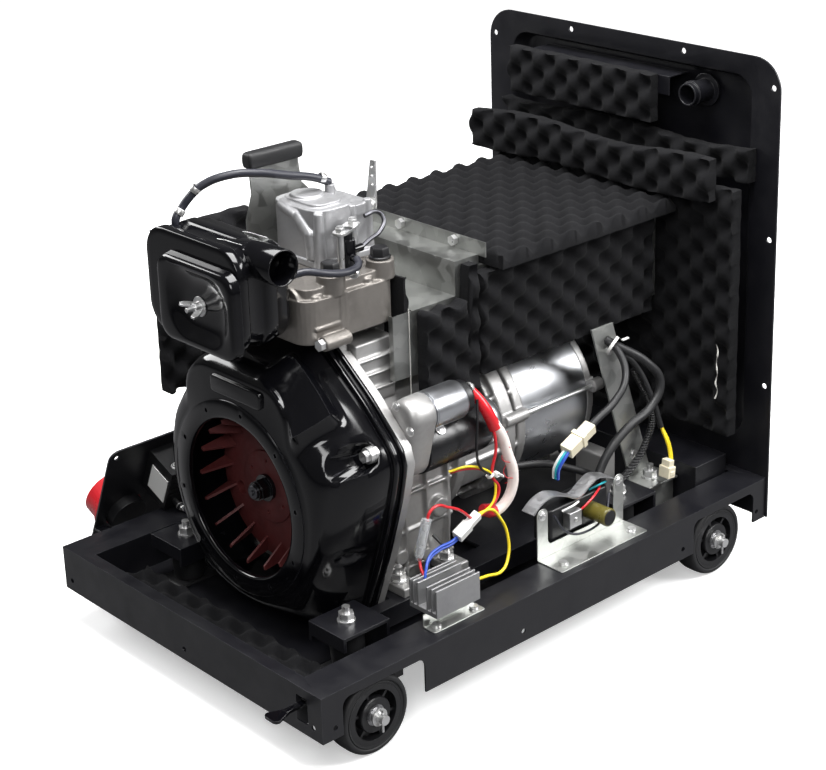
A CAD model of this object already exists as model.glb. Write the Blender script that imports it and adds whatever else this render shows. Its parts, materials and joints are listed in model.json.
import json
import math

import bmesh
import bpy
from mathutils import Matrix, Vector, noise

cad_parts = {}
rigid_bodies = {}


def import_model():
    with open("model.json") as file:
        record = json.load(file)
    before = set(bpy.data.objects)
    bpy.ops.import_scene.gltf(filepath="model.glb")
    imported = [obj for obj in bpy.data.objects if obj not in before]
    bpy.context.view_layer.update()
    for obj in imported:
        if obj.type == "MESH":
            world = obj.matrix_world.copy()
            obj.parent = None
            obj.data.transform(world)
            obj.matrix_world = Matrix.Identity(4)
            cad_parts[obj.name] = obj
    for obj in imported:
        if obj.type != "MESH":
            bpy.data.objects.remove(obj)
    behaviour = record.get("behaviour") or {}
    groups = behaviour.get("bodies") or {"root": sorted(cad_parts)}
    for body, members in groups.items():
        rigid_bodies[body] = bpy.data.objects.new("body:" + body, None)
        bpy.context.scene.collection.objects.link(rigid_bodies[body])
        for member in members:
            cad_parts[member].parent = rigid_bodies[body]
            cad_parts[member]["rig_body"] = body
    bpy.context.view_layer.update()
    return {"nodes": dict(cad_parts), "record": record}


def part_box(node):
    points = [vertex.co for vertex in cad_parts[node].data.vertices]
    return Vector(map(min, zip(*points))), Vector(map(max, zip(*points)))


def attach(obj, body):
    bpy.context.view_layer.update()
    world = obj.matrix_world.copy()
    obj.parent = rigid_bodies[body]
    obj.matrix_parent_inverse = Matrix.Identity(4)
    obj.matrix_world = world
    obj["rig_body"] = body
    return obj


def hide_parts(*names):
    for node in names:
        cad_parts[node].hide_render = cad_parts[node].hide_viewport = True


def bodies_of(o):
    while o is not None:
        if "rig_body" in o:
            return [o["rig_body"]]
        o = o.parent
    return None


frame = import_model()
# fixes the noise that frays the foam's cut edges
noise.seed_set(11)

# ---------- the working frame: millimetres from the fan-end face of the tray, at axle height ----------
MM = 0.001
tray_lo, tray_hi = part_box("base_frame")
wheel_lo, wheel_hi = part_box("tyre_front_near")
ORIGIN = Vector((tray_lo.x, (tray_lo.y + tray_hi.y) / 2, (wheel_lo.z + wheel_hi.z) / 2))
X, Y, Z = Vector((1, 0, 0)), Vector((0, 1, 0)), Vector((0, 0, 1))


def mm_box(node):
    """Lowest and highest corners of a CAD node in working millimetres."""
    lo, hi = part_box(node)
    return (lo - ORIGIN) / MM, (hi - ORIGIN) / MM


# ---------- shapes ----------
def round_loop(u0, u1, v0, v1, r, arc=8, side=4):
    """A rounded rectangle as (u, v) points; r is one radius or four, from the low corner round."""
    radii = r if isinstance(r, (tuple, list)) else (r,) * 4
    centres = [(u0 + radii[0], v0 + radii[0], 180), (u1 - radii[1], v0 + radii[1], 270),
               (u1 - radii[2], v1 - radii[2], 0), (u0 + radii[3], v1 - radii[3], 90)]
    corners = []
    for (cu, cv, start), radius in zip(centres, radii):
        angles = [math.radians(start + 90 * i / arc) for i in range(arc + 1)]
        corners.append([(cu + radius * math.cos(a), cv + radius * math.sin(a)) for a in angles])
    loop = []
    for k in range(4):
        loop += corners[k]
        (ua, va), (ub, vb) = corners[k][-1], corners[(k + 1) % 4][0]
        loop += [(ua + (ub - ua) * i / side, va + (vb - va) * i / side) for i in range(1, side)]
    return loop


def inset_loop(box, inset, r, arc=8, side=4):
    """The rounded rectangle of a box (u0, u1, v0, v1), drawn in on every side."""
    u0, u1, v0, v1 = box
    return round_loop(u0 + inset, u1 - inset, v0 + inset, v1 - inset, r, arc, side)


def circle_loop(r, n):
    angles = [2 * math.pi * i / n for i in range(n)]
    return [(r * math.cos(a), r * math.sin(a)) for a in angles]


def arc_points(u, v, r, start, end, n=10):
    """Points along an arc, with its angles in degrees."""
    angles = [math.radians(start + (end - start) * i / n) for i in range(n + 1)]
    return [(u + r * math.cos(a), v + r * math.sin(a)) for a in angles]


def plane_x(x, loop):
    """Stands a flat (u, v) outline in the plane at one x."""
    return [(x, u, v) for u, v in loop]


def plane_y(y, loop):
    return [(u, y, v) for u, v in loop]


def plane_z(z, loop):
    return [(u, v, z) for u, v in loop]


def aim(centre, direction, spin=0):
    """The place of a shape built along its own Z, turned to point along direction."""
    turn = Vector(direction).to_track_quat("Z", "Y").to_matrix().to_4x4()
    return Matrix.Translation(Vector(centre)) @ turn @ Matrix.Rotation(math.radians(spin), 4, "Z")


def finished(bm, name, sharp):
    """Turns a bmesh into a smooth-shaded mesh. Edges turning by more than sharp degrees stay crisp."""
    mesh = bpy.data.meshes.new(name)
    bm.to_mesh(mesh)
    bm.free()
    mesh.shade_smooth()
    mesh.set_sharp_from_angle(angle=math.radians(sharp))
    return mesh


class Shape:
    """Closed solids gathered into one mesh, in working millimetres."""

    def __init__(self):
        self.bm = bmesh.new()

    def loft(self, loops, closed=False, place=Matrix.Identity(4)):
        """Skins a run of loops: closed joins the last to the first, and otherwise the ends are capped."""
        rows = [[self.bm.verts.new(place @ Vector(p)) for p in loop] for loop in loops]
        pairs = list(zip(rows, rows[1:])) + ([(rows[-1], rows[0])] if closed else [])
        for a, b in pairs:
            for i in range(len(a)):
                j = (i + 1) % len(a)
                self.bm.faces.new((a[i], a[j], b[j], b[i]))
        if not closed:
            self.bm.faces.new(rows[0][::-1])
            self.bm.faces.new(rows[-1])
        return self

    def box(self, lo, hi, place=Matrix.Identity(4)):
        loop = [(lo[0], lo[1]), (hi[0], lo[1]), (hi[0], hi[1]), (lo[0], hi[1])]
        return self.loft([plane_z(lo[2], loop), plane_z(hi[2], loop)], place=place)

    def turn(self, centre, direction, profile, n=40, closed=False, spin=0):
        """A turned solid. Profile points are (distance along direction, radius)."""
        loops = [plane_z(a, circle_loop(r, n)) for a, r in profile]
        return self.loft(loops, closed, aim(centre, direction, spin))

    def hex(self, centre, direction, height, flats, spin=0):
        """A hexagon of a given width across flats, with its corners eased at both ends."""
        r = flats / 2 / math.cos(math.pi / 6)
        profile = [(0, r * 0.94), (0.6, r), (height - 1, r), (height, r * 0.9)]
        return self.turn(centre, direction, profile, n=6, spin=spin)

    def screw(self, centre, direction, head=5.5, height=4):
        """A pan-head screw with a washer and a crossed recess."""
        rim = head * 1.35
        pan = [(0, rim), (0.9, rim), (1, head), (height * 0.6, head), (height, head * 0.55)]
        self.turn(centre, direction, pan, n=24)
        place = aim(centre, direction)
        for angle in (0, 90):
            spun = place @ Matrix.Rotation(math.radians(angle + 20), 4, "Z")
            self.box((-head * 0.5, -0.5, height), (head * 0.5, 0.5, height + 0.25), spun)
        return self

    def nut(self, centre, direction, flats=17, height=9, stud=8, washer=11):
        """A washer, a nut and the end of its threaded stud."""
        up = Vector(direction)
        inner = washer - 0.4
        self.turn(centre, direction, [(0, inner), (0.4, washer), (1.6, washer), (2, inner)])
        self.hex(Vector(centre) + up * 2, direction, height, flats, 14)
        r = flats * 0.29
        pitch = 0.75
        threads = [(1 + i * pitch, r - 0.35 * (i % 2)) for i in range(int((height + stud) / pitch))]
        return self.turn(centre, direction, threads, n=20)

    def sheet(self, outline, direction, start, thick):
        """A flat outline of (u, v) points thickened along x, y or z from start."""
        planes = {"x": plane_x, "y": plane_y, "z": plane_z}[direction]
        return self.loft([planes(start, outline), planes(start + thick, outline)])

    def mesh(self, name, sharp=35):
        """The finished mesh, in metres and in the row frame."""
        bmesh.ops.remove_doubles(self.bm, verts=self.bm.verts, dist=0.001)
        bmesh.ops.recalc_face_normals(self.bm, faces=self.bm.faces)
        to_row = Matrix.Translation(ORIGIN) @ Matrix.Scale(MM, 4)
        bmesh.ops.transform(self.bm, matrix=to_row, verts=self.bm.verts)
        return finished(self.bm, name, sharp)


def add(name, data):
    """Puts a new object into the scene."""
    obj = bpy.data.objects.new(name, data)
    bpy.context.scene.collection.objects.link(obj)
    return obj


def show(name, data, slot, material=None, body="root", stands_for=()):
    """Links a piece, rides it on its body and gives it a material: its slot's own, unless one is named."""
    obj = add(name, data)
    data.materials.clear()
    data.materials.append(material or FINISH[slot])
    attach(obj, body)
    if stands_for:
        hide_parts(*stands_for)
    return obj


def bake(obj):
    """Swaps a mesh for its modified one, so that no modifier is left."""
    graph = bpy.context.evaluated_depsgraph_get()
    mesh = bpy.data.meshes.new_from_object(obj.evaluated_get(graph))
    obj.modifiers.clear()
    obj.data = mesh
    return obj


def bevel(obj, width=0.8):
    """Rounds a piece's edges by a width in millimetres."""
    mod = obj.modifiers.new("bevel", "BEVEL")
    mod.width = width * MM
    mod.segments = 2
    mod.limit_method = "ANGLE"
    mod.angle_limit = math.radians(30)
    mod.harden_normals = True
    mod.miter_outer = "MITER_ARC"
    return obj


def cad_copy(node):
    """A clean copy of a CAD node's mesh: merged points and flat faces made whole."""
    bm = bmesh.new()
    bm.from_mesh(frame["nodes"][node].data)
    bmesh.ops.remove_doubles(bm, verts=bm.verts, dist=0.01 * MM)
    bmesh.ops.dissolve_limit(bm, angle_limit=math.radians(0.6), verts=bm.verts, edges=bm.edges)
    return finished(bm, node, 28)


def body_of(node):
    """The name of the body that a CAD node rides on."""
    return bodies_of(frame["nodes"][node])[0]


def cast(obj, voxel, passes):
    """Fuses a piece's solids and rounds their corners like a sand casting."""
    remesh = obj.modifiers.new("remesh", "REMESH")
    remesh.mode = "VOXEL"
    remesh.voxel_size = voxel * MM
    remesh.use_smooth_shade = True
    smooth = obj.modifiers.new("smooth", "SMOOTH")
    smooth.iterations = passes
    smooth.factor = 0.5
    return bake(obj)


def cord(name, points, radius, slot, material=None, stands_for=(), radii=None):
    """A round hose or wire through a list of points; radii scale it at each one."""
    curve = bpy.data.curves.new(name, "CURVE")
    curve.dimensions = "3D"
    curve.bevel_depth = radius * MM
    curve.bevel_resolution = 4
    curve.resolution_u = 10
    curve.use_fill_caps = True
    spline = curve.splines.new("BEZIER")
    spline.bezier_points.add(len(points) - 1)
    for i, (knot, p) in enumerate(zip(spline.bezier_points, points)):
        knot.co = ORIGIN + Vector(p) * MM
        knot.handle_left_type = knot.handle_right_type = "AUTO"
        knot.radius = radii[i] if radii else 1
    show(name, curve, slot, material, stands_for=stands_for)


# ---------- materials ----------
# a mix node's colour sockets come after its number and vector ones
MIX_A = 6
MIX_B = 7
MIX_OUT = 2


class Paint:
    """A node tree around one principled shader, with object coordinates in metres."""

    def __init__(self, name, colour, rough, metal=0.0, coat=0.0):
        self.material = bpy.data.materials.new(name)
        self.material.use_nodes = True
        self.tree = self.material.node_tree
        self.shader = self.tree.nodes["Principled BSDF"]
        self.place = self.node("ShaderNodeTexCoord").outputs["Object"]
        self.height = None
        self.set("Base Color", (*colour, 1))
        self.set("Roughness", rough)
        self.set("Metallic", metal)
        self.set("Coat Weight", coat)
        self.set("Coat Roughness", 0.09)

    def node(self, kind, **values):
        """Adds a node; values set its properties or, by name, its inputs."""
        node = self.tree.nodes.new(kind)
        for key, value in values.items():
            if hasattr(node, key):
                setattr(node, key, value)
            else:
                node.inputs[key.replace("_", " ")].default_value = value
        return node

    def set(self, socket, value):
        self.shader.inputs[socket].default_value = value
        return self

    def link(self, a, b):
        self.tree.links.new(a, b)

    def noise(self, scale, detail):
        tex = self.node("ShaderNodeTexNoise", Scale=scale, Detail=detail)
        self.link(self.place, tex.inputs["Vector"])
        return tex.outputs["Fac"]

    def cells(self, scale):
        """A pattern of cells, each with a grey of its own."""
        tex = self.node("ShaderNodeTexVoronoi", Scale=scale)
        self.link(self.place, tex.inputs["Vector"])
        return tex.outputs["Color"]

    def mix(self, fac, first, second):
        """A blend of two colours by a pattern."""
        mix = self.node("ShaderNodeMix", data_type="RGBA")
        mix.inputs[MIX_A].default_value = first
        mix.inputs[MIX_B].default_value = second
        self.link(fac, mix.inputs["Factor"])
        return mix

    def spread(self, fac, low, high, start=0.3, end=0.7):
        """Maps a 0 to 1 pattern onto a range of values."""
        node = self.node("ShaderNodeMapRange", From_Min=start, From_Max=end, To_Min=low, To_Max=high)
        self.link(fac, node.inputs["Value"])
        return node.outputs["Result"]

    def tint(self, fac, other, start=0.35, end=0.65, limit=1.0):
        """Blends the colour so far towards another where the pattern is high."""
        socket = self.shader.inputs["Base Color"]
        mix = self.mix(self.spread(fac, 0, limit, start, end), socket.default_value, (*other, 1))
        if socket.links:
            self.link(socket.links[0].from_socket, mix.inputs[MIX_A])
        self.link(mix.outputs[MIX_OUT], socket)
        return self

    def vary(self, fac, low, high, start=0.3, end=0.7):
        """Spreads the roughness over a range by a pattern."""
        self.link(self.spread(fac, low, high, start, end), self.shader.inputs["Roughness"])
        return self

    def bump(self, fac, distance, strength=1.0):
        """Adds a bump of a given height in millimetres, on top of any before it."""
        node = self.node("ShaderNodeBump", Strength=strength, Distance=distance * MM)
        self.link(fac, node.inputs["Height"])
        if self.height:
            self.link(self.height, node.inputs["Normal"])
        self.height = node.outputs["Normal"]
        self.link(self.height, self.shader.inputs["Normal"])
        return self

    def worn(self, colour, amount=0.5, radius=1.2):
        """Bare edges: lightens where the rounded normal leaves the true one."""
        edge = self.node("ShaderNodeBevel", samples=4, Radius=radius * MM)
        flat = self.node("ShaderNodeNewGeometry").outputs["Normal"]
        dot = self.node("ShaderNodeVectorMath", operation="DOT_PRODUCT")
        self.link(edge.outputs["Normal"], dot.inputs[0])
        self.link(flat, dot.inputs[1])
        turned = self.node("ShaderNodeMath", operation="SUBTRACT")
        turned.inputs[0].default_value = 1.0
        self.link(dot.outputs["Value"], turned.inputs[1])
        rub = self.node("ShaderNodeMath", operation="MULTIPLY")
        self.link(turned.outputs[0], rub.inputs[0])
        self.link(self.noise(60, 4), rub.inputs[1])
        return self.tint(rub.outputs[0], colour, 0.02, 0.16, amount)


def dusty(paint, amount):
    """A film of pale dust in patches."""
    return paint.tint(paint.noise(18, 5), (0.16, 0.155, 0.15), 0.5, 0.85, amount)


def powder_coat():
    """Satin black powder coat with a fine grain."""
    p = Paint("satin_powder_coat", (0.0055, 0.0055, 0.0075), 0.38)
    p.vary(p.noise(30, 4), 0.30, 0.46)
    p.bump(p.noise(900, 2), 0.12, 0.35)
    p.bump(p.noise(8, 2), 0.6, 0.1)
    p.worn((0.07, 0.07, 0.08), 0.6)
    return dusty(p, 0.02).material


def gloss_enamel():
    """Thick black enamel with a faint ripple, rubbed at its edges."""
    p = Paint("gloss_black_enamel", (0.0022, 0.0022, 0.003), 0.20, coat=0.4)
    p.set("Specular IOR Level", 0.25)
    p.vary(p.noise(25, 5), 0.08, 0.20)
    p.bump(p.noise(14, 2), 0.5, 0.16)
    p.bump(p.noise(420, 2), 0.03, 0.2)
    p.worn((0.09, 0.09, 0.10), 0.5)
    return dusty(p, 0.012).material


def scaled(colour, by):
    return tuple(c * by for c in colour)


def galvanised(name="galvanised_sheet", light=1.0):
    """Zinc-coated sheet: light scales how bright its greys are."""
    p = Paint(name, scaled((0.27, 0.275, 0.265), light), 0.36, metal=0.9)
    spangle = p.cells(55)
    p.tint(spangle, scaled((0.42, 0.425, 0.41), light), 0.2, 0.9, 0.55)
    p.tint(p.noise(12, 5), scaled((0.18, 0.185, 0.178), light), 0.5, 0.8, 0.5)
    p.vary(spangle, 0.26, 0.46, 0.0, 1.0)
    p.bump(p.noise(6, 2), 0.8, 0.15)
    return p.material


def zinc_plate():
    p = Paint("bright_zinc", (0.66, 0.66, 0.66), 0.34, metal=0.9)
    p.tint(p.noise(90, 4), (0.62, 0.60, 0.52), 0.5, 0.8, 0.4)
    p.vary(p.noise(140, 3), 0.26, 0.44)
    p.bump(p.noise(500, 2), 0.02, 0.3)
    return p.material


def casting(name, colour, dark, rough=0.46, grain=0.25):
    p = Paint(name, colour, rough, metal=0.72)
    p.tint(p.noise(22, 6), dark, 0.45, 0.8, 0.6)
    p.vary(p.noise(160, 4), rough - 0.08, rough + 0.12)
    p.bump(p.noise(1100, 3), grain, 0.45)
    p.bump(p.noise(90, 4), 0.35, 0.25)
    return p.material


def polished_tube():
    p = Paint("polished_tube", (0.55, 0.56, 0.585), 0.30, metal=1.0)
    p.vary(p.noise(45, 3), 0.27, 0.35)
    p.tint(p.noise(16, 4), (0.48, 0.50, 0.52), 0.5, 0.85, 0.5)
    p.bump(p.noise(700, 2), 0.01, 0.2)
    return p.material


def plain_steel(name="machined_steel", colour=(0.42, 0.42, 0.43), rough=0.3):
    p = Paint(name, colour, rough, metal=1.0)
    p.vary(p.noise(200, 4), rough - 0.08, rough + 0.12)
    p.tint(p.noise(40, 4), (0.25, 0.22, 0.19), 0.55, 0.85, 0.4)
    p.bump(p.noise(700, 2), 0.03, 0.3)
    return p.material


def fan_paint():
    p = Paint("dark_red_paint", (0.085, 0.012, 0.012), 0.55)
    p.tint(p.noise(35, 5), (0.045, 0.008, 0.008), 0.45, 0.75, 0.6)
    p.vary(p.noise(80, 4), 0.5, 0.72)
    p.bump(p.noise(600, 3), 0.12, 0.4)
    p.worn((0.20, 0.05, 0.045), 0.5)
    return p.material


def open_foam():
    """Open-celled foam: near black, with its cells catching a little light."""
    p = Paint("acoustic_foam", (0.006, 0.006, 0.0068), 0.95)
    p.set("Sheen Weight", 0.02).set("Sheen Roughness", 0.5).set("Specular IOR Level", 0.14)
    p.tint(p.noise(1400, 2), (0.024, 0.024, 0.026), 0.56, 0.76, 0.8)
    p.tint(p.noise(10, 3), (0.0035, 0.0035, 0.004), 0.5, 0.8, 0.6)
    p.bump(p.noise(1300, 3), 0.7, 0.7)
    p.bump(p.noise(260, 3), 0.8, 0.35)
    return p.material


def moulded(name, colour, rough, grain=0.08, coat=0.0):
    p = Paint(name, colour, rough, coat=coat)
    p.vary(p.noise(60, 4), rough - 0.06, rough + 0.10)
    p.tint(p.noise(25, 4), scaled(colour, 0.6), 0.5, 0.8, 0.4)
    p.bump(p.noise(800, 2), grain, 0.4)
    return p.material


def clear_plastic():
    p = Paint("clear_plastic", (0.9, 0.92, 0.94), 0.12)
    p.set("Transmission Weight", 0.75).set("IOR", 1.4)
    p.vary(p.noise(90, 3), 0.08, 0.25)
    return p.material


def corrugated():
    p = Paint("corrugated_conduit", (0.012, 0.012, 0.013), 0.4)
    wave = p.node("ShaderNodeTexWave", Scale=95.0, bands_direction="Z")
    p.link(p.place, wave.inputs["Vector"])
    p.bump(wave.outputs["Fac"], 1.2)
    return p.material


def woven_sleeve():
    p = Paint("woven_sleeve", (0.78, 0.70, 0.66), 0.7)
    p.bump(p.noise(900, 2), 0.25, 0.5)
    p.tint(p.noise(120, 3), (0.62, 0.50, 0.46), 0.5, 0.8, 0.5)
    return p.material


FRAME_BLACK = powder_coat()
GLOSS = gloss_enamel()
GALV = galvanised()
ZINC = zinc_plate()
ALLOY = casting("cast_alloy", (0.40, 0.395, 0.39), (0.28, 0.27, 0.265))
COVER_ALLOY = casting("rocker_alloy", (0.40, 0.40, 0.41), (0.30, 0.30, 0.31), 0.48, 0.3)
HEAD_ALLOY = casting("head_alloy", (0.215, 0.2, 0.184), (0.13, 0.12, 0.11))
SINK_ALLOY = casting("heat_sink", (0.33, 0.33, 0.335), (0.24, 0.24, 0.25), grain=0.12)
TUBE = polished_tube()
STEEL = plain_steel()
HOT_STEEL = plain_steel("heat_stained_steel", (0.20, 0.18, 0.16), 0.45)
RED_FAN = fan_paint()
FOAM = open_foam()
RUBBER = moulded("black_rubber", (0.007, 0.007, 0.008), 0.5, 0.1)
TYRE = moulded("tyre_rubber", (0.009, 0.009, 0.010), 0.6, 0.2)
HOSE = moulded("hose_rubber", (0.018, 0.019, 0.027), 0.42, 0.05)
PLASTIC = moulded("black_plastic", (0.006, 0.006, 0.007), 0.36, 0.08)
SATIN_BLACK = moulded("satin_black_paint", (0.006, 0.006, 0.007), 0.3, 0.05)
RED = moulded("red_plastic", (0.55, 0.012, 0.02), 0.3, 0.04, 0.3)
BLUE = moulded("blue_plastic", (0.03, 0.12, 0.40), 0.35, 0.04)
CREAM = moulded("cream_plastic", (0.72, 0.66, 0.50), 0.4, 0.04)
WHITE = moulded("white_plastic", (0.78, 0.78, 0.76), 0.4, 0.04)
YELLOW = moulded("yellow_sheath", (0.80, 0.60, 0.02), 0.38, 0.03)
TEAL = moulded("teal_sheath", (0.02, 0.36, 0.42), 0.38, 0.03)
GOLD = moulded("film_sleeve", (0.10, 0.085, 0.015), 0.3, 0.03)
CLEAR = clear_plastic()
SLEEVE = woven_sleeve()
COPPER = plain_steel("lacquered_copper", (0.40, 0.17, 0.08), 0.4)
PAPER = moulded("filter_paper", (0.45, 0.36, 0.20), 0.85, 0.3)
BLUE_WIRE = moulded("blue_sheath", (0.02, 0.07, 0.42), 0.35, 0.03)
BACKING = moulded("foam_backing", (0.50, 0.49, 0.46), 0.7, 0.2)
SATIN_STEEL = plain_steel("satin_steel", (0.46, 0.46, 0.47), 0.42)
DARK_STEEL = plain_steel("dark_steel", (0.10, 0.10, 0.11), 0.34)
BRIGHT_GALV = galvanised("bright_galvanised", 1.5)
CONDUIT = corrugated()

SLOT_OF = {part["node"]: part["material_slot"] for part in frame["record"]["subparts"]}
FINISH = {
    "frame_paint": FRAME_BLACK, "gloss_black": GLOSS, "galvanised": GALV, "zinc": ZINC,
    "cast_alloy": ALLOY, "head_alloy": HEAD_ALLOY, "barrel_alloy": TUBE, "steel": STEEL,
    "fan_red": RED_FAN, "foam": FOAM, "rubber": RUBBER, "tyre": TYRE, "black_plastic": PLASTIC,
    "red_plastic": RED, "blue_plastic": BLUE, "cable": HOSE, "winding": COPPER,
    "laminations": STEEL, "heat_sink": SINK_ALLOY, "filter_paper": PAPER, "hot_steel": HOT_STEEL}


# ---------- ways of adding a piece ----------
def stand_in(name, shape, node, material=None, sharp=35):
    """Shows a hand-made shape in place of a CAD node, on its body and in its slot."""
    return show(name, shape.mesh(name, sharp), SLOT_OF[node], material, body_of(node), [node])


def detail(name, shape, slot, material=None, body="root", sharp=35):
    """Shows an extra shape that stands for no CAD node."""
    return show(name, shape.mesh(name, sharp), slot, material, body)


def from_cad(node, material=None):
    """A CAD node shown with its own shape and softly rounded edges."""
    obj = show(node + "_look", cad_copy(node), SLOT_OF[node], material, body_of(node), [node])
    return bevel(obj, 0.7)


def cast_from_cad(node, voxel, passes, extra=None, material=None):
    """A CAD node fused with any extra lugs and ribs, then softened like a sand casting."""
    data = cad_copy(node)
    if extra:
        bm = bmesh.new()
        bm.from_mesh(data)
        bm.from_mesh(extra.mesh("extra"))
        bm.to_mesh(data)
        bm.free()
    obj = show(node + "_look", data, SLOT_OF[node], material, body_of(node), [node])
    cast(obj, voxel, passes)


def drill(obj, cutter, sharp=35):
    """Cuts a shape out of a piece."""
    mesh = cutter.mesh("cutter")
    tool = add("cutter", mesh)
    mod = obj.modifiers.new("holes", "BOOLEAN")
    mod.operation = "DIFFERENCE"
    mod.solver = "EXACT"
    mod.object = tool
    bake(obj)
    obj.data.set_sharp_from_angle(angle=math.radians(sharp))
    bpy.data.objects.remove(tool)
    bpy.data.meshes.remove(mesh)


# ---------- running gear and mounts ----------
TYRE_R = 50
TYRE_BORE = 38
TREAD_ROUNDING = 6.5
TREAD_POWER = 3.2
TREAD_STEPS = 24


def tyres():
    """Solid rubber tyres with a crowned tread, rounded shoulders and a moulded sidewall bead."""
    for node in ("tyre_front_near", "tyre_front_far", "tyre_rear_near", "tyre_rear_far"):
        lo, hi = mm_box(node)
        half = (hi.y - lo.y) / 2
        crown = []
        for i in range(TREAD_STEPS + 1):
            u = math.sin(math.pi * (i / TREAD_STEPS - 0.5))
            lift = (1 - abs(u) ** TREAD_POWER) ** (1 / TREAD_POWER)
            crown.append((half * u, TYRE_R - TREAD_ROUNDING + TREAD_ROUNDING * lift))
        bead = [(half - 0.2, 42.6), (half - 1.3, 42), (half - 1.5, 41), (half - 0.6, 40.4),
                (half - 1, TYRE_BORE)]
        profile = [(-a, r) for a, r in reversed(bead)] + crown + bead
        ring = Shape().turn(((lo.x + hi.x) / 2, (lo.y + hi.y) / 2, 0), Y, profile, n=96, closed=True)
        stand_in(node + "_rubber", ring, node, sharp=50)


MOUNTS = [(118, -165), (118, 152), (590, -165), (590, 165)]
FOOT_TOP = 14
BULGE_STEPS = 16


def mount_rubbers():
    """Bonded rubber mounts, squeezed so that their sides bulge, on soft-edged feet."""
    rubber = Shape()
    lo, hi = mm_box("mount_rubbers")
    bulge = [(FOOT_TOP + (hi.z - FOOT_TOP) * i / BULGE_STEPS, 19 + 2 * math.sin(math.pi * i / BULGE_STEPS))
             for i in range(BULGE_STEPS)]
    foot = [(lo.z, 1.5), (lo.z + 1, 0.4), (lo.z + 3, 0), (11, 0), (12.8, 0.8), (13.8, 2.6), (14.1, 5)]
    for x, y in MOUNTS:
        rubber.turn((x, y, 0), Z, [(13, 17.5)] + bulge + [(hi.z - 0.6, 19), (hi.z, 17.5)], n=48)
        rubber.loft([plane_z(z, inset_loop((x - 30, x + 30, y - 24, y + 24), i, 7)) for z, i in foot])
    stand_in("mount_blocks", rubber, "mount_rubbers", sharp=50)


PAD_STEPS = 14


def buffer_block():
    """A rubber pad with pillowed faces, clamped on top of its bracket."""
    lo, hi = mm_box("buffer_block")
    rows = []
    for i in range(PAD_STEPS + 1):
        t = i / PAD_STEPS
        edge = 1 - (1 - (2 * t - 1) ** 6) ** 0.5
        inset = 0.9 * (2 * t - 1) ** 2 + 2.2 * edge
        outline = inset_loop((lo.x, hi.x, lo.y, hi.y), inset, 3.5)
        rows.append(plane_z(lo.z + (hi.z - lo.z) * t, outline))
    stand_in("buffer_pad", Shape().loft(rows), "buffer_block", sharp=60)


# ---------- end panel ----------
PANEL_X = mm_box("end_panel")[0].x
PANEL_HALF = 263
PANEL_TOP = 637
SHEET = 2.4


def panel_loop(x, inset, r):
    """The recess of the panel, drawn in by inset at its depth x."""
    top = PANEL_TOP - 0.6 * inset
    return plane_x(x, round_loop(-PANEL_HALF + inset, PANEL_HALF - inset, 60 + inset, top, r, 10, 8))


def end_panel():
    """A pressed sheet with a shallow recess and a row of holes round its edge."""
    face = [(0, 43, 31), (1, 46, 29), (4, 48.5, 26), (11, 52, 23), (18, 55.5, 20), (21, 59.5, 18),
            (22, 66, 16)]
    edge = round_loop(-PANEL_HALF, PANEL_HALF, 0, PANEL_TOP, (0.02, 0.02, 42, 42), 10, 8)
    front = [panel_loop(PANEL_X + x, inset, r) for x, inset, r in reversed(face)]
    back = [panel_loop(PANEL_X + x + SHEET, inset - 2.2, r + 2) for x, inset, r in face]
    rim = [plane_x(PANEL_X, edge), plane_x(PANEL_X + 2.5, edge)]
    obj = stand_in("end_panel_sheet", Shape().loft(front + rim + back), "end_panel")
    holes = Shape()
    for side in (-1, 1):
        for y, z in ((252, 191), (252, 397), (252, 600), (102, 626)):
            holes.turn((PANEL_X - 5, side * y, z), X, [(0, 4), (15, 4)], n=24)
    drill(obj, holes)
    bevel(obj, 0.5)


# ---------- fan shroud ----------
CRANK_Z = 182
RIM = [(-62, 368), (-128, 316), (-178, 268), (-184, 248), (-174, 205), (-150, 130), (-114, 30),
       (114, 30), (150, 130), (168, 205), (160, 262), (110, 330), (62, 368)]
FACE_TOP = [(70, 338), (-76, 338), (-100, 300), (104, 300)]
FACE_R = 132
MOUTH_HOLES = 10
MOUTH_HOLE_R = 113
RIM_X = 182.5
WALL_DEPTH = 86
WALL_STEPS = 24
SHROUD_N = 180
SHROUD_ANGLES = [2 * math.pi * i / SHROUD_N for i in range(SHROUD_N)]
SHOULDER = math.radians(122)
SHOULDER_OUT = Vector((-0.62, 0.785 * math.cos(SHOULDER), 0.785 * math.sin(SHOULDER)))
SIDE_BOLT = Vector((168, -164, 268))


def ray(outline, angle):
    """Distance from the crank axis to an outline along an angle, 0 where it misses."""
    d = Vector((math.cos(angle), math.sin(angle)))
    best = 0
    for (ya, za), (yb, zb) in zip(outline, outline[1:] + outline[:1]):
        a, e = Vector((ya, za - CRANK_Z)), Vector((yb - ya, zb - za))
        cross = d.x * e.y - d.y * e.x
        if abs(cross) < 1e-9:
            continue
        distance = (a.x * e.y - a.y * e.x) / cross
        along = (a.x * d.y - a.y * d.x) / cross
        if distance > 0 and -1e-6 <= along <= 1 + 1e-6:
            best = max(best, distance)
    return best


def softened(radii, reach):
    """Radii round a loop, each averaged with its neighbours."""
    n = len(radii)
    steps = range(-reach, reach + 1)
    weights = [1 - abs(k) / (reach + 1) for k in steps]
    return [sum(w * radii[(i + k) % n] for w, k in zip(weights, steps)) / sum(weights) for i in range(n)]


SHROUD_RIM = softened([ray(RIM, a) for a in SHROUD_ANGLES], 2)
SHROUD_FACE = softened([max(FACE_R, ray(FACE_TOP, a)) for a in SHROUD_ANGLES], 3)


def ramp(value, low, high, blend):
    """1 between low and high, falling to 0 over the blend at each end."""
    return max(0.0, min(1.0, (value - low) / blend, (high - value) / blend))


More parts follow.
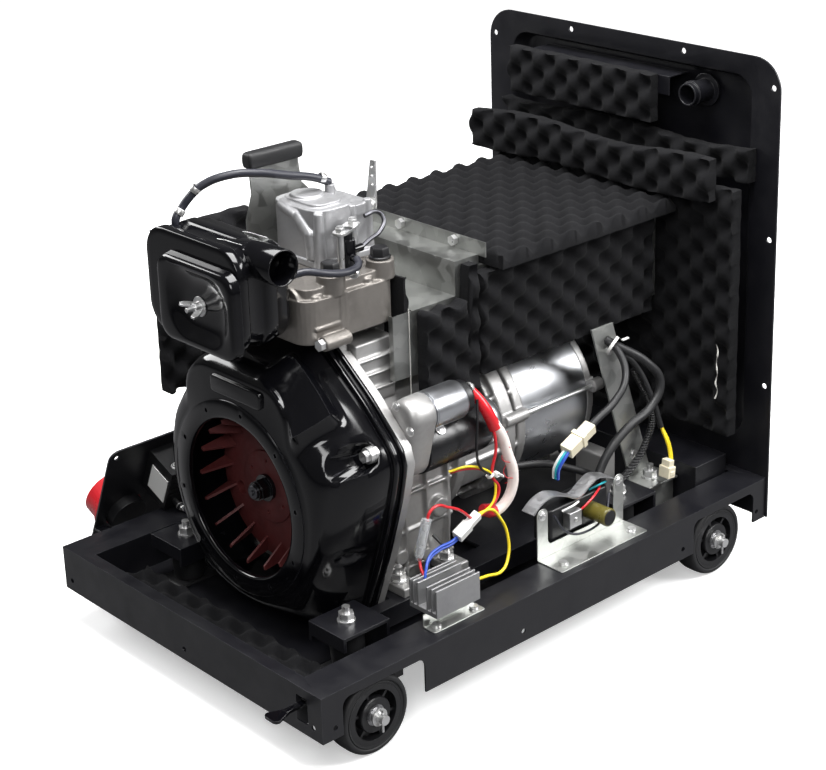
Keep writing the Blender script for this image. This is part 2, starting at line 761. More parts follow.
def pressed_flat(rows, weights):
    """Presses the weighted points of the shroud's shoulder out to one plane."""
    heights = [SHOULDER_OUT.dot(p) for row, ws in zip(rows, weights) for p, w in zip(row, ws) if w == 1]
    plane = 0.6 * max(heights) + 0.4 * sum(heights) / len(heights)
    return [[p + SHOULDER_OUT * w * (plane - SHOULDER_OUT.dot(p)) for p, w in zip(row, ws)]
            for row, ws in zip(rows, weights)]


def shroud_point(angle, s, outer, inner, inset, x_shift):
    """A point of the shroud's wall, s from rim to face, and its share in the flat shoulder."""
    degrees = math.degrees(angle)
    r = inner - 4 * s ** 6 + (outer - inner) * (1 - s ** 1.5) - inset
    crease = ramp(degrees, 193, 199, 3) * ramp(s, 0.04, 0.5, 0.2)
    r -= 6 * crease
    x = RIM_X - WALL_DEPTH * math.sin(s * math.pi / 2) ** 0.85 + x_shift
    y, z = r * math.cos(angle), CRANK_Z + r * math.sin(angle)
    pocket = ramp(math.hypot(y - SIDE_BOLT.y, z - SIDE_BOLT.z), -1, 18, 5)
    x += (max(SIDE_BOLT.x + 1 + x_shift, x) - x) * pocket
    return Vector((x, y, z)), ramp(degrees, 104, 139, 3) * ramp(s, 0.18, 0.84, 0.07)


def shroud_wall(inset, x_shift):
    """Loops of the wall, from the rim forward to the face."""
    rows, weights = [], []
    for k in range(WALL_STEPS + 1):
        made = [shroud_point(a, k / WALL_STEPS, outer, inner, inset, x_shift)
                for a, outer, inner in zip(SHROUD_ANGLES, SHROUD_RIM, SHROUD_FACE)]
        rows.append([point for point, share in made])
        weights.append([share for point, share in made])
    return pressed_flat(rows, weights)


def shroud_ring(x, radii):
    """A loop round the crank axis at one x."""
    return [(x, r * math.cos(a), CRANK_Z + r * math.sin(a)) for r, a in zip(radii, SHROUD_ANGLES)]


def fan_shroud():
    """A pressed shell with a double lip, a rolled mouth, small mouth screws and one side bolt."""
    lip_rows = [(199.8, -6), (199.8, 6.4), (199.2, 7), (195.6, 7), (195, 6.4), (194.6, 2), (187.6, 2),
                (187.1, 6.4), (186.5, 7), (183.1, 7), (182.5, 6.4), (190, -6)]
    lips = [shroud_ring(x, [r + extra for r in SHROUD_RIM]) for x, extra in lip_rows]
    mouth_rows = [(95.4, 125.5), (95, 124), (93.5, 124), (92.9, 123.2), (92.9, 104.5), (93.3, 102),
                  (94.4, 100.4), (96, 100), (99, 100), (99.2, 101)]
    mouth = [shroud_ring(x, [r] * SHROUD_N) for x, r in mouth_rows]
    inner = shroud_wall(3.5, 3)[::-1]
    body = Shape().loft(lips[:-1] + shroud_wall(0, 0) + mouth + inner + lips[-1:], closed=True)
    obj = stand_in("fan_shroud_shell", body, "fan_shroud", sharp=50)
    holes = Shape()
    for i in range(MOUTH_HOLES):
        a = math.radians(360 / MOUTH_HOLES * i + 8)
        centre = (88, -MOUTH_HOLE_R * math.sin(a), CRANK_Z + MOUTH_HOLE_R * math.cos(a))
        holes.turn(centre, X, [(0, 2.9), (8, 2.9)], n=20)
    drill(obj, holes, 50)
    rows = [(98, 0), (93.4, 0), (92.4, 0.6), (92, 2.2)]
    pad = Shape().loft([plane_x(x, inset_loop((-56, 40, 312, 334), i, 6)) for x, i in rows])
    detail("shroud_pad", pad, "gloss_black", sharp=50)
    bolt = Shape().turn(SIDE_BOLT, -X, [(0, 10.5), (1.4, 10.5), (1.6, 7.5), (4, 7.5), (6.5, 6.8),
                                        (8, 4.6), (8.6, 2.4), (8.4, 0.2)])
    detail("shroud_bolt", bolt, "zinc")


# ---------- fan ----------
FAN_AXIS = Vector((0, 0, CRANK_Z))
FAN_BLADES = 17
BLADE_HALF = 1.6


def round_crank(degrees, point):
    """A point turned about the crank axis."""
    return FAN_AXIS + Matrix.Rotation(math.radians(degrees), 3, "X") @ Vector(point)


def fan():
    """A dished disc inside a ring of swept triangular blades."""
    disc = Shape().turn(FAN_AXIS, X, [(138, 15.3), (138, 44.5), (138.5, 46), (140.6, 46.5), (140.8, 50),
                                      (143.5, 78), (146, 96.5), (174, 96.5), (174, 84), (168, 84),
                                      (168, 15.3)], n=96, closed=True)
    obj = stand_in("fan_disc", disc, "flywheel_fan", sharp=30)
    holes = Shape()
    for i in range(6):
        holes.turn(round_crank(60 * i, (130, 0, 34)), X, [(0, 2.5), (14, 2.5)], n=16)
    for degrees in (70, 250):
        holes.turn(round_crank(degrees, (130, 0, 62)), X, [(0, 9), (32, 9)], n=28)
    drill(obj, holes, 30)
    blades = Shape()
    for i in range(FAN_BLADES):
        spun = Matrix.Translation(FAN_AXIS) @ Matrix.Rotation(2 * math.pi * i / FAN_BLADES, 4, "X")
        sides = [[(147, t, 72), (107, t + 9, 90), (107, t + 9, 95), (147, t, 95)]
                 for t in (-BLADE_HALF, BLADE_HALF)]
        blades.loft(sides, place=spun)
    detail("fan_blades", blades, "fan_red", body="crank_train", sharp=30)


# ---------- air cleaner ----------
CLEANER_BOX = (-84, 94, 393, 521)
COVER_BOX = (-88, 60, 391, 498)
POCKET_BOX = (-78, 40, 401, 491)
STUD_YZ = (-14, 444)
INLET_X = 95


def air_cleaner():
    """The pressed case with its swaged seams and the boss under it."""
    rows = [(53, 9), (53, 3), (53.6, 1), (54.6, 0.2), (65, 0), (66.6, 0.6), (67.6, 2.4), (69, 4.6),
            (71, 5.2), (88, 4.4), (90, 3.6), (91, 2), (92.4, 1.2), (106, 1), (107.2, 1.6), (108, 3.4),
            (109.4, 4.4), (122, 5), (127, 7), (130, 11), (131, 17)]
    case = Shape().loft([plane_x(x, inset_loop(CLEANER_BOX, i, 34 - i, 10, 6)) for x, i in rows])
    case.turn((128, 12, 424), X, [(0, 27), (6, 26), (7.2, 26)])
    stand_in("air_cleaner_case", case, "air_cleaner_body", sharp=60)
    tabs = Shape().box((60, -30, 386), (63, -8, 396)).box((100, 10, 386), (103, 30, 396))
    bevel(detail("air_cleaner_tabs", tabs, "gloss_black"), 1)
    stud = Shape().turn((29, *STUD_YZ), X, [(0, 2.4), (0.6, 3), (100, 3)], n=20)
    detail("air_cleaner_stud", stud, "zinc")


def ellipse(x, y, z, rx, rz, n=48):
    """A loop standing across Y."""
    angles = [2 * math.pi * i / n for i in range(n)]
    return [(x + rx * math.cos(a), y, z + rz * math.sin(a)) for a in angles]


def snorkel():
    """The round inlet, flaring back into the top of the case, with its two seams."""
    flare = [(-60, 22.5, 21.4, 500.4), (-56, 25, 21.4, 500), (-40, 31, 20.5, 499.6), (-18, 36, 18, 499),
             (8, 34, 14, 499), (34, 26, 8, 500), (44, 18, 4, 500)]
    inlet = Shape().loft([ellipse(INLET_X, y, z, rx, rz) for y, rx, rz, z in flare])
    inlet.turn((INLET_X, -112, 501), Y, [(0.4, 21.6), (0, 21), (0, 20.2), (0.4, 19.6), (52, 19.3), (52, 14),
                                         (54, 14), (54, 21.4)], n=48, closed=True)
    detail("air_snorkel", inlet, "gloss_black", sharp=60)
    for x in (INLET_X - 18, INLET_X + 18):
        seam = [(x, y, z + 0.1) for y, z in ((-62, 521.4), (-50, 520.9), (-30, 520.2), (-16, 518.4))]
        cord("snorkel_seam_%d" % x, seam, 0.45, "zinc")


def air_cleaner_cover():
    """A pressed pan with a rolled edge and a dished pocket for the wing nut."""
    pan = [(52.8, 2, 20), (53, 0.5, 22), (52.4, -0.2, 22.4), (51.4, 0.2, 22), (46, 1.2, 21), (43, 2.2, 20),
           (41.2, 4, 19), (40.3, 6.5, 18), (40, 9, 18)]
    pocket = [(40.1, 0, 34), (40.6, 2.4, 34), (42, 5, 34), (44.5, 9, 33), (46.8, 14, 30), (48.4, 20, 24),
              (49, 27, 17)]
    rows = [plane_x(x, inset_loop(COVER_BOX, inset, r, 10, 6)) for x, inset, r in pan]
    rows += [plane_x(x, inset_loop(POCKET_BOX, inset, r, 10, 6)) for x, inset, r in pocket]
    stand_in("air_cleaner_pan", Shape().loft(rows), "air_cleaner_cover", sharp=60)


def wing_nut():
    """A flanged nut with two upright wings, stopped at an angle."""
    nut = Shape()
    nut.turn((48.9, *STUD_YZ), -X, [(0, 11.5), (0.5, 12), (1.6, 12), (1.8, 6.4), (9, 5.6), (9.6, 5)])
    wing = [(0, 0), (5, 0), (9, 5), (12.5, 12), (13, 17), (10, 19.5), (7, 17), (4, 10), (0, 7)]
    place = Matrix.Translation((47, *STUD_YZ)) @ Matrix.Rotation(math.radians(25), 4, "X")
    for side in (-1, 1):
        nut.loft([[(-b, side * (a + 2), t) for a, b in wing] for t in (-1.4, 1.4)], place=place)
    bevel(stand_in("cleaner_wing_nut", nut, "wing_nut"), 0.7)


# ---------- foam ----------
FOAM_PITCH = 44
FOAM_DEPTH = 15
FOAM_STEP = 3.6
CUT_ROUGHNESS = 1.4


def hump(u, v):
    """Height of convoluted foam from 0 in a hollow to 1 on a peak, with broad peaks and narrow hollows."""
    wave = math.cos(2 * math.pi * u / FOAM_PITCH) * math.cos(2 * math.pi * v / FOAM_PITCH)
    return 1 - (0.5 - 0.5 * wave) ** 1.45


def egg_crate(name, origin, u_dir, v_dir, out, width, thick, low, high, shift, stands_for):
    """A cut sheet of convoluted foam; low and high give its lower and upper edge along u."""
    origin, u_dir, v_dir, out = (Vector(v) for v in (origin, u_dir, v_dir, out))
    tall = max(high(0), high(width / 2), high(width)) - min(low(0), low(width))
    nu, nv = round(width / FOAM_STEP), round(tall / FOAM_STEP)
    shape = Shape()

    def point(i, j, raised):
        """A point of the grid, on the relief when raised and on the flat back when not."""
        u = width * i / nu
        v = low(u) + (high(u) - low(u)) * j / nv
        on_rim = i in (0, nu) or j in (0, nv)
        place = origin + u_dir * u + v_dir * v
        if on_rim:
            rough = noise.noise_vector(place * 0.07) * CUT_ROUGHNESS
            place = place + u_dir * (rough.x + CUT_ROUGHNESS * ((i == 0) - (i == nu)))
            place = place + v_dir * (rough.y + CUT_ROUGHNESS * ((j == 0) - (j == nv)))
        if not raised:
            return place
        soft = noise.noise(place * 0.03) * 1.2
        top = thick - 1.4 - FOAM_DEPTH * (1 - hump(u + shift[0], v + shift[1])) + soft - on_rim
        return place + out * max(3, top)

    top, back = [[[shape.bm.verts.new(point(i, j, raised)) for j in range(nv + 1)] for i in range(nu + 1)]
                 for raised in (True, False)]
    for i in range(nu):
        for j in range(nv):
            shape.bm.faces.new((top[i][j], top[i + 1][j], top[i + 1][j + 1], top[i][j + 1]))
            shape.bm.faces.new((back[i][j], back[i][j + 1], back[i + 1][j + 1], back[i + 1][j]))
    rim = ([(i, 0) for i in range(nu)] + [(nu, j) for j in range(nv)]
           + [(i, nv) for i in range(nu, 0, -1)] + [(0, j) for j in range(nv, 0, -1)])
    for (ia, ja), (ib, jb) in zip(rim, rim[1:] + rim[:1]):
        shape.bm.faces.new((top[ia][ja], top[ib][jb], back[ib][jb], back[ia][ja]))
    show(name, shape.mesh(name, 75), "foam", stands_for=stands_for)


def level(height):
    return lambda u: height


def drooped(height, depth, phase):
    """An edge that sags unevenly along the sheet."""
    return lambda u: height - depth * (1 + math.sin(u * 0.021 + phase)) / 2


def slanted(u):
    """Lower edge of the sheet on the engine side."""
    return 12 - u * 0.13


def step_edge(u):
    """Top edge of the sheet on the engine side, cut round the steps of the box."""
    return 118 + 3 * math.sin(u * 0.21) if u < 72 else min(163, 118 + (u - 72) * 14)


def foam():
    """Sheets as corner, the ways across, up and out, width, thickness, both edges and pattern shift."""
    base = level(0)
    sheets = [
        ("foam_top", (406, -141, 425.5), X, Y, Z, 324, 24, base, level(327), (9, 0)),
        ("foam_side", (386, -107, 288), X, Z, -Y, 318, 23.8, base, level(135), (0, 11)),
        ("foam_engine", (293, -107, 275), X, Z, -Y, 90, 24, slanted, step_edge, (8, 0)),
        ("foam_strip", (280, -62, 318), -Y, Z, X, 41, 11, base, level(122), (0, 0)),
        ("foam_end", (756, 205, 120), -Y, Z, -X, 433, 24, drooped(3, 8, 3), drooped(349, 4, 1), (0, 9)),
        ("foam_upper", (730, 236, 451), -Y, Z, -X, 442, 24, drooped(2, 5, 1), drooped(61, 9, 2.2), (6, 14)),
        ("foam_upper_strip", (782, 222, 471), -Y, Z, -X, 452, 23, base, drooped(50, 9, 0.4), (0, 0)),
        ("foam_block", (762, 190, 530), -Y, Z, -X, 268, 23, base, level(67), (6, 12)),
        ("foam_floor", (8, -196, 10.6), X, Y, Z, 76, 19, base, level(392), (5, 0)),
        ("foam_far", (150, 232.5, 236), X, Z, -Y, 152, 25, base, level(220), (0, 0))]
    for sheet in sheets:
        egg_crate(*sheet, ["foam_lining"] if sheet == sheets[0] else [])


def foam_edges():
    """The pale backing that shows along two cut edges and frays down a third."""
    backing = Shape().box((384, -107.6, 285), (702, -106.4, 290))
    backing.box((283, -105.4, 268), (284, -104.4, 400))
    detail("foam_backing", backing, "foam", BACKING)
    knots = range(12)
    frayed = [(732 + math.sin(k * 2.1), -212 + 1.5 * math.cos(k * 1.7), 254 - 7 * k) for k in knots]
    cord("foam_frayed_edge", frayed, 0.8, "foam", BACKING, radii=[0.4 + 0.6 * (k % 3) for k in knots])


# ---------- starter ----------
MOTOR = Vector((-144.5, 243))
MOTOR_R = 33
SOLENOID = Vector((-166, 297))
SOLENOID_R = 24


def two_circle_loop(x, inset, n=64):
    """Outline round the motor and solenoid circles, drawn in by inset."""
    loop = []
    for i in range(n):
        a = 2 * math.pi * i / n
        d = Vector((math.cos(a), math.sin(a)))
        circles = [(MOTOR, MOTOR_R - 2 - inset), (SOLENOID, SOLENOID_R - inset)]
        centre, r = max(circles, key=lambda c: c[0].dot(d) + c[1])
        loop.append((x, centre.x + r * d.x, centre.y + r * d.y))
    return loop


def along_starter(x, axis, profile, n=64):
    """A turned shape on the axis of the motor or the solenoid."""
    return Shape().turn((x, axis.x, axis.y), X, profile, n=n)


def starter():
    """The cast nose, the painted motor case and its bright end bell."""
    nose = [(212.2, 9), (213, 5.5), (216, 2.6), (221, 0.9), (227, 0.2), (246, 0), (247.8, 1)]
    nose = Shape().loft([two_circle_loop(x, inset) for x, inset in nose])
    detail("starter_nose", nose, "cast_alloy", sharp=60)
    case = along_starter(248, MOTOR, [(0, 31), (0.6, 32.8), (1.4, MOTOR_R), (100, MOTOR_R), (101, 32.5),
                                      (101.4, 31), (103, 31)])
    stand_in("starter_case", case, "starter_motor", SATIN_BLACK, sharp=50)
    bell = along_starter(351, MOTOR, [(0, 32), (0.6, 32.6), (14, 31.6), (20, 28), (24, 20), (25, 13),
                                      (25.4, 12), (29, 11), (30, 9)])
    detail("starter_end_bell", bell, "steel", TUBE, sharp=50)


def solenoid():
    """The solenoid's can with a crimped groove, and its black terminal cap."""
    groove = [(0, 22.6), (0.8, 22.6), (1, SOLENOID_R), (2.6, SOLENOID_R), (2.8, 23.4), (3.4, 23.4)]
    barrel = [(3.6, SOLENOID_R), (50, SOLENOID_R), (52.6, 23), (53.6, 21.6)]
    can = along_starter(248.4, SOLENOID, groove + barrel)
    stand_in("solenoid_can", can, "starter_solenoid", sharp=40)
    cap = along_starter(301.8, SOLENOID, [(0, 20.8), (9, 20.8), (11, 19.6), (12, 17)], 48)
    cap.box((306, SOLENOID.x - 12, SOLENOID.y - 4), (318, SOLENOID.x + 14, SOLENOID.y + 10))
    bevel(detail("solenoid_cap", cap, "black_plastic", sharp=40))


def starter_fixings():
    studs = Shape().nut((317, SOLENOID.x - 4, SOLENOID.y + 10), X, 10, 4, 4, 7)
    studs.nut((317, SOLENOID.x + 8, SOLENOID.y - 6), X, 8, 3, 3, 5)
    for y, z in ((-158, 312), (-181, 287), (-136, 222)):
        studs.screw((213, y, z), -X, 4.6, 3.6)
    studs.screw((272, MOTOR.x - 23.5, MOTOR.y + 24), Vector((0, -1, 1)), 5, 2.4)
    detail("starter_fixings", studs, "zinc")


# ---------- hoses ----------
def hoses():
    """The breather hose, the fuel pipe and the grey return hose, with their clamps."""
    breather = [(86, 78, 510), (87, 77, 521), (96, 76, 532), (103, 71, 543), (115, 61, 557), (140, 42, 568),
                (170, 28, 567), (212, 16, 557), (240, 9, 550), (262, 6, 540)]
    cord("breather_hose", breather, 5, "cable", stands_for=["pipes_and_hoses"])
    pipe = [(244.5, -70, 480), (258, -67, 484), (280, -63, 490), (291, -57, 501), (287, -51, 509),
            (268, -49, 508)]
    cord("fuel_pipe", pipe, 2.8, "steel", DARK_STEEL)
    back = [(221, -88, 475), (216, -97, 472), (203, -103, 470), (180, -106, 472), (156, -104, 478),
            (138, -96, 482), (122, -90, 480)]
    cord("return_hose", back, 4.5, "cable")
    clamps = Shape()
    band = [(-3.5, 6), (-3, 6.3), (3, 6.3), (3.5, 6), (3.4, 4.6), (-3.4, 4.6)]
    for centre, direction in (
            ((92, 76.5, 527), (0.7, -0.1, 0.8)),
            ((252, 7.5, 547), (1, -0.15, -0.4)),
            ((109, 65.5, 553), (0.5, -0.5, 0.8)),
            ((206, -100.5, 464.5), (-0.9, -0.4, -0.2))):
        clamps.turn(centre, direction, band, n=32, closed=True)
    detail("hose_clamps", clamps, "zinc")


# ---------- wires ----------
def wires(*rows):
    """Wires given as name, sheath, radius and the points on the way."""
    for name, sheath, radius, points in rows:
        cord(name, points, radius, "cable", sheath)


def starter_cables():
    """The main cable: a pale woven sleeve with a red tracer, between two red boots."""
    sleeve = [(342, -188, 258), (352, -190, 240), (360, -191, 214), (368, -192, 187), (366, -190, 160),
              (356, -187, 145), (344, -184, 138)]
    cord("starter_sleeve", sleeve, 6.8, "cable", SLEEVE, stands_for=["wiring"])
    boot = [(321, -168, 304), (327, -176, 292), (335, -185, 272), (343, -188, 252)]
    cord("starter_boot", boot, 7.6, "red_plastic", radii=[0.75, 0.9, 1, 1.04])
    lower = [(345, -184, 139), (336, -182, 142), (326, -180, 146)]
    cord("starter_boot_lower", lower, 8, "red_plastic", radii=[0.9, 1.1, 0.9])
    turn = 2.2
    spiral = [(355 + 8 * k / 12 + 6.6 * math.sin(k * turn), -191 - 6.3 * math.cos(k * turn), 246 - 7.5 * k)
              for k in range(11)]
    cord("sleeve_tracer", spiral, 0.5, "cable", RED)


TIE = (335, -190, 192)


def sense_wires():
    """Thin wires of the starter and the charging circuit, gathered by one tie."""
    wires(
        ("wire_red_main", RED, 1.9, [
            (331, -184, 280), (338, -191, 250), (340, -192, 228), TIE, (344, -192, 172), (333, -192, 155),
            (304, -192, 146)]),
        ("wire_black_main", PLASTIC, 1.6, [
            (318, -184, 296), (312, -190, 268), (309, -191, 239), (313, -191, 213), TIE]),
        ("wire_yellow_motor", YELLOW, 1.6, [
            (280, -172, 210), (300, -184, 214), (320, -190, 206), TIE, (339, -191, 170), (330, -192, 155),
            (304, -191, 150)]),
        ("wire_red_motor", RED, 1.5, [
            (284, -170, 207), (304, -184, 210), (324, -189, 202), (336, -189, 189), (343, -190, 166),
            (334, -191, 152), (306, -190, 148)]),
        ("wire_yellow_loop", YELLOW, 1.9, [
            (303, -193, 148), (325, -195, 152), (340, -197, 136), (350, -200, 108), (344, -206, 84),
            (328, -212, 74), (300, -214, 78), (262, -216, 84)]),
        ("wire_red_fuse", RED, 1.9, [
            (296, -192, 150), (276, -193, 168), (258, -193, 178), (240, -193, 186), (229, -193, 182),
            (225, -192, 172)]),
        ("wire_red_lower", RED, 1.9, [(212, -191, 128), (209, -196, 118), (208, -204, 108)]),
        ("wire_black_return", PLASTIC, 1.7, [(275, -189, 128), (266, -180, 120), (262, -160, 128)]))
    for drop, name in ((0, "wire_blue_a"), (3.6, "wire_blue_b")):
        wires((name, BLUE_WIRE, 1.8, [
            (276, -192, 134 - drop), (262, -193, 131 - drop), (241, -194, 131 - drop),
            (224, -196, 127 - drop), (210, -204, 116), (204, -208, 104)]))


FUSE_WAY = (-16, 0.5, -50)


def sense_fittings():
    """The fuse in its clear holder, the white connector and the cable tie."""
    holder = Shape().turn((225, -192, 175), FUSE_WAY, [(0, 4), (1, 6), (44, 6), (48, 5), (52, 3)], n=24)
    detail("fuse_holder", holder, "black_plastic", CLEAR, sharp=40)
    fuse = Shape().turn((223, -192, 168), FUSE_WAY, [(0, 2.6), (7, 2.6), (7.2, 2), (30, 2), (30.2, 2.6),
                                                     (37, 2.6)], n=20)
    detail("fuse", fuse, "zinc")
    place = aim((272, -192, 133), (36, 0, 18), 20)
    plug = Shape().box((-7, -6, 0), (7, 6, 22), place).box((-5.6, -5, 21), (5.6, 5, 40), place)
    plug.box((-3, -8, 6), (3, -5, 16), place)
    bevel(detail("sense_connector", plug, "cable", WHITE), 1)
    band = [(0, 5), (3.6, 5), (3.6, 4), (0, 4)]
    tie = Shape().turn((331.5, -188.5, 195), (0.5, -0.2, -1), band, n=24, closed=True)
    tie.box((336, -197, 191), (341, -190, 197)).box((338, -206, 194), (339.4, -194, 196.6))
    detail("cable_tie", tie, "black_plastic", WHITE)


LOOM_END = (600, -132, 278)


def looms():
    """Thick black cables from the tail of the alternator, and the wires that end at its plugs."""
    bundles = [
        ("loom_connector", 5, [
            LOOM_END, (606, -150, 264), (595, -172, 236), (568, -178, 214), (534, -178, 199),
            (524, -178, 194)]),
        ("loom_rear", 6, [
            LOOM_END, (612, -146, 268), (640, -170, 244), (657, -178, 214), (640, -180, 188),
            (592, -180, 170), (556, -180, 148), (538, -180, 126), (528, -182, 110)]),
        ("loom_floor", 5, [
            (430, -120, 148), (470, -146, 148), (508, -156, 132), (534, -160, 118), (566, -160, 98)]),
        ("loom_yellow", 4, [
            LOOM_END, (616, -132, 262), (648, -140, 232), (668, -156, 178), (674, -166, 140)])]
    for name, radius, points in bundles:
        cord(name, points, radius, "cable", RUBBER)
    conduit = [(652, -136, 222), (676, -148, 150), (662, -148, 112), (646, -146, 92), (600, -140, 60)]
    cord("loom_conduit", conduit, 5, "cable", CONDUIT)
    wires(
        ("yellow_pair_a", YELLOW, 2, [
            (674, -166, 140), (676, -176, 118), (677, -180, 100), (676, -182, 92)]),
        ("yellow_pair_b", YELLOW, 2, [
            (676, -165, 140), (681, -174, 118), (680, -180, 100), (678, -182, 92)]))
    for k, name, sheath in ((0, "wire_blue_tail", BLUE_WIRE), (1, "wire_teal_tail", TEAL),
                            (2, "wire_white_tail", WHITE)):
        y = -184 + 4 * k
        wires((name, sheath, 2.1, [(480, y, 178 - k), (468, y, 168), (462, y + 4, 154), (464, y + 8, 138)]))


def loom_fittings():
    """The two cream plugs and the tie round the looms."""
    place = aim((668, -182, 74), (0.12, 0, 1))
    plug = Shape().box((-9, -7, 0), (9, 7, 16), place).box((-7, -5, 14), (7, 5, 25), place)
    plug.box((-10, -4, 4), (10, 4, 10), place)
    place = aim((475, -180, 174), (52, 2, 21), 10)
    plug.box((-9, -8, 0), (9, 8, 26), place).box((-10.5, -9.5, 24), (10.5, 9.5, 31), place)
    plug.box((-8, -7, 30), (8, 7, 52), place).box((-4, -11, 8), (4, -8, 28), place)
    bevel(detail("loom_connectors", plug, "cable", CREAM), 1)
    band = [(0, 13), (4, 13), (4, 11.4), (0, 11.4)]
    tie = Shape().turn((603, -140, 273), (0.3, -0.6, -0.4), band, n=32, closed=True)
    tie.box((610, -154, 279), (622, -151, 281))
    detail("loom_tie", tie, "black_plastic", WHITE)


# ---------- brackets on the rail and the voltage regulator ----------
GAUGE = 1.5
FLANGE_Z = 58.6
EARS = [(403.5, 119), (543.5, 119)]
EAR_R = 9.5


def rail_bracket_sheets():
    """Folded sheets: the regulator's wall with an ear at each end, the fan end's bracket and a far one."""
    left, right = [arc_points(x, z, EAR_R, 180, 0) for x, z in EARS]
    wall = ([(394, 60)] + left + arc_points(421, 84, 8, 180, 270) + arc_points(526, 84, 8, 270, 360) + right
            + [(553, 60)])
    sheets = Shape().sheet(wall, "y", -207.5, GAUGE)
    sheets.sheet(round_loop(394, 553, -250, -206.2, 3), "z", FLANGE_Z, GAUGE)
    sheets.sheet(round_loop(184, 266, -246, -225, 3), "z", FLANGE_Z, GAUGE)
    sheets.sheet(round_loop(184, 266, 59, 75.9, 1), "y", -226, GAUGE)
    sheets.sheet(round_loop(238, 298, 214, 250, 3), "z", FLANGE_Z, GAUGE)
    sheets.sheet(round_loop(238, 298, 59, 440, 1), "y", 233.5, GAUGE)
    bevel(stand_in("rail_bracket_sheets", sheets, "rail_brackets", BRIGHT_GALV), 0.5)


def smooth_line(points, steps=8):
    """Points along a soft curve through the given ones."""
    line = []
    for i in range(len(points) - 1):
        p0, p1 = Vector(points[max(i - 1, 0)]), Vector(points[i])
        p2, p3 = Vector(points[i + 1]), Vector(points[min(i + 2, len(points) - 1)])
        for k in range(steps):
            t = k / steps
            line.append(0.5 * (2 * p1 + (p2 - p0) * t + (2 * p0 - 5 * p1 + 4 * p2 - p3) * t * t
                               + (3 * p1 - p0 - 3 * p2 + p3) * t ** 3))
    return line + [Vector(points[-1])]


def avr_strap():
    """A thin wavy strap from ear to ear that holds the block down."""
    line = smooth_line([(389, 124), (404, 134), (424, 138), (446, 131), (470, 120), (492, 130), (508, 135),
                        (530, 128), (541, 121)])
    normals = [Vector((a.y - b.y, b.x - a.x)).normalized() for a, b in zip(line, line[1:])]
    loops = []
    for p, n in zip(line, normals + normals[-1:]):
        up, down = p + n * 0.8, p - n * 0.8
        corners = ((up, -206.5), (up, -186), (down, -186), (down, -206.5))
        loops.append([(end.x, y, end.y) for end, y in corners])
    detail("avr_strap", Shape().loft(loops), "steel", SATIN_STEEL, sharp=50)


def avr_block():
    """The potted block, its capacitor and one folded terminal."""
    rows = [(117, 2.5), (116.2, 0.8), (114.5, 0), (72, 0)]
    block = Shape().loft([plane_z(z, inset_loop((420, 530, -203, -172), i, 7)) for z, i in rows])
    stand_in("avr_block", block, "avr_module", sharp=50)
    can = [(0, 9), (0.6, 11.4), (1.6, 12), (5, 12), (5.2, 11.6), (36, 11.6), (37, 10.6)]
    can = Shape().turn((492, -240, 96), Y, can, n=48)
    detail("capacitor", can, "black_plastic", GOLD, sharp=50)
    end = Shape().turn((492, -240.3, 96), Y, [(0, 9.6), (0.4, 10.2), (1.2, 10.4)], n=48)
    detail("capacitor_end", end, "black_plastic", sharp=50)
    fold = Shape().box((444, -216, 88), (466, -203, 110))
    bevel(detail("avr_terminal", fold, "steel", SATIN_STEEL), 1.2)


def avr_fixings():
    """Screws of the brackets on the rail, and the regulator's own short wires."""
    screws = Shape()
    for x, z in EARS:
        screws.screw((x, -207.6, z), -Y, 5, 3.4)
    screws.turn((455, -216, 99), -Y, [(0, 3), (1, 3), (1.8, 2), (2, 0.3)], n=20)
    for x in (196, 256, 412, 536):
        screws.screw((x, -236, 60.2), Z, 4.6, 3.4)
    detail("avr_screws", screws, "zinc")
    wires(
        ("avr_wire_red", RED, 1.5, [
            (466, -206, 100), (478, -212, 110), (506, -206, 118), (528, -190, 116)]),
        ("avr_wire_green", TEAL, 1.4, [(500, -196, 118), (514, -204, 124), (530, -198, 120)]),
        ("avr_wire_white", WHITE, 1.4, [(440, -206, 112), (452, -212, 117), (470, -206, 115)]),
        ("avr_wire_sag", HOSE, 1.6, [
            (424, -207, 112), (440, -214, 86), (470, -220, 78), (510, -216, 88), (526, -207, 108)]))


# ---------- control panel ----------
PANEL_LEAN = Matrix.Rotation(math.radians(24), 4, "X")


def panel_place(x, y, z):
    """A place in the tilted control panel's own frame, in working millimetres."""
    return Matrix.Translation((0, 262, 159)) @ PANEL_LEAN @ Matrix.Translation((x, y, z))


def on_panel(x, y, z):
    return panel_place(x, y, z).translation


PANEL_Y = PANEL_LEAN.to_3x3() @ Y
PANEL_Z = PANEL_LEAN.to_3x3() @ Z


def control_details():
    """Ribs, a blank plate, terminals and three leads at the back of the circuit breaker."""
    ribs = Shape()
    for i in range(4):
        ribs.box((0, -1, -0.8), (76, 0.6, 0.8), panel_place(153, -52.4, -30 - 9 * i))
    detail("breaker_ribs", ribs, "black_plastic")
    plate = Shape().box((-1, -44, -16), (0, -8, 22), panel_place(150, -4, -58))
    detail("breaker_plate", plate, "black_plastic", WHITE)
    studs = Shape()
    for i in range(3):
        studs.nut(on_panel(166 + 25 * i, -62, -73), -PANEL_Y, 8, 5, 6, 5.5)
        studs.nut(on_panel(162 + 25 * i, -40, -20), PANEL_Z, 7, 3, 4, 5)
    detail("breaker_terminals", studs, "zinc")
    for i, sheath in enumerate((HOSE, PLASTIC, TEAL)):
        start, end = on_panel(166 + 25 * i, -66, -73), on_panel(172 + 22 * i, -96, -96)
        middle = (start + end) / 2 + Vector((0, -8, 8))
        wires(("breaker_lead_%d" % i, sheath, 2.6, [start, middle, end]))


